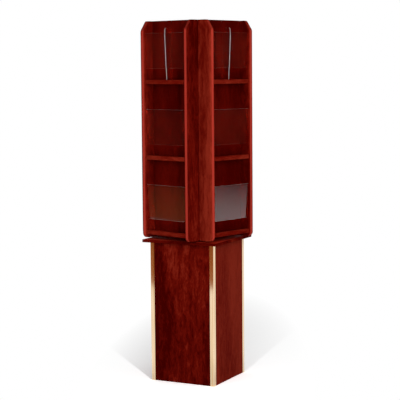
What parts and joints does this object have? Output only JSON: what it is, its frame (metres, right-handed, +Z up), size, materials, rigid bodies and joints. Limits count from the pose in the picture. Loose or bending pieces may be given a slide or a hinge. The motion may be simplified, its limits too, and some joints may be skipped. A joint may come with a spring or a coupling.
{
  "type": "revolving periodical display rack",
  "caption": "Tall revolving wooden display with tiers of clear-fronted magazine pockets on every face, turning on a square pedestal with brass corners.",
  "frame": {"origin": "on the floor, at the middle of the pedestal's underside, on the axis the head turns about", "axes": "+Z up along the turning axis; X and Y square to the faces of the head as it stands in the picture, so the front face looks along -Y and the pedestal beneath is turned about +Z by 15.1 degrees"},
  "size_m": [0.4454, 0.4454, 1.5915],
  "materials": {
    "mahogany_stained_wood": "red-brown mahogany stain under satin lacquer",
    "clear_acrylic": "clear sheet with polished edges",
    "polished_brass": "polished",
    "zinc_plated_steel": "pressed sheet, bright zinc plated"
  },
  "bodies": {
    "pedestal": {"pedestal_front_panel": "mahogany_stained_wood", "pedestal_front_brass_corner": "polished_brass", "pedestal_right_panel": "mahogany_stained_wood", "pedestal_right_brass_corner": "polished_brass", "pedestal_back_panel": "mahogany_stained_wood", "pedestal_back_brass_corner": "polished_brass", "pedestal_left_panel": "mahogany_stained_wood", "pedestal_left_brass_corner": "polished_brass", "pedestal_top_plate": "mahogany_stained_wood", "pedestal_bottom_board": "mahogany_stained_wood", "turntable_lower_plate": "zinc_plated_steel"},
    "head": {"front_left_side_panel": "mahogany_stained_wood", "front_right_side_panel": "mahogany_stained_wood", "front_back_panel": "mahogany_stained_wood", "front_bottom_shelf": "mahogany_stained_wood", "front_bottom_clear_front": "clear_acrylic", "front_middle_shelf": "mahogany_stained_wood", "front_middle_clear_front": "clear_acrylic", "front_top_shelf": "mahogany_stained_wood", "front_top_clear_front": "clear_acrylic", "front_brochure_divider": "clear_acrylic", "front_corner_post": "mahogany_stained_wood", "right_left_side_panel": "mahogany_stained_wood", "right_right_side_panel": "mahogany_stained_wood", "right_back_panel": "mahogany_stained_wood", "right_bottom_shelf": "mahogany_stained_wood", "right_bottom_clear_front": "clear_acrylic", "right_middle_shelf": "mahogany_stained_wood", "right_middle_clear_front": "clear_acrylic", "right_top_shelf": "mahogany_stained_wood", "right_top_clear_front": "clear_acrylic", "right_brochure_divider": "clear_acrylic", "right_corner_post": "mahogany_stained_wood", "back_left_side_panel": "mahogany_stained_wood", "back_right_side_panel": "mahogany_stained_wood", "back_back_panel": "mahogany_stained_wood", "back_bottom_shelf": "mahogany_stained_wood", "back_bottom_clear_front": "clear_acrylic", "back_middle_shelf": "mahogany_stained_wood", "back_middle_clear_front": "clear_acrylic", "back_top_shelf": "mahogany_stained_wood", "back_top_clear_front": "clear_acrylic", "back_brochure_divider": "clear_acrylic", "back_corner_post": "mahogany_stained_wood", "left_left_side_panel": "mahogany_stained_wood", "left_right_side_panel": "mahogany_stained_wood", "left_back_panel": "mahogany_stained_wood", "left_bottom_shelf": "mahogany_stained_wood", "left_bottom_clear_front": "clear_acrylic", "left_middle_shelf": "mahogany_stained_wood", "left_middle_clear_front": "clear_acrylic", "left_top_shelf": "mahogany_stained_wood", "left_top_clear_front": "clear_acrylic", "left_brochure_divider": "clear_acrylic", "left_corner_post": "mahogany_stained_wood", "head_top_board": "mahogany_stained_wood", "head_bottom_board": "mahogany_stained_wood", "turntable_upper_plate": "zinc_plated_steel"},
    "ball_ring": {"turntable_ball_ring": "zinc_plated_steel"}
  },
  "joints": [
    {"name": "head_spin", "type": "hinge", "parent": "pedestal", "child": "head", "pos_m": [0, 0, 0.63975], "axis": [0, 0, 1], "continuous": true},
    {"name": "ball_ring_spin", "type": "hinge", "parent": "pedestal", "child": "ball_ring", "pos_m": [0, 0, 0.63975], "axis": [0, 0, 1], "continuous": true}
  ],
  "couplings": [
    {"joint": "ball_ring_spin", "follows": "head_spin", "ratio": 0.5}
  ]
}
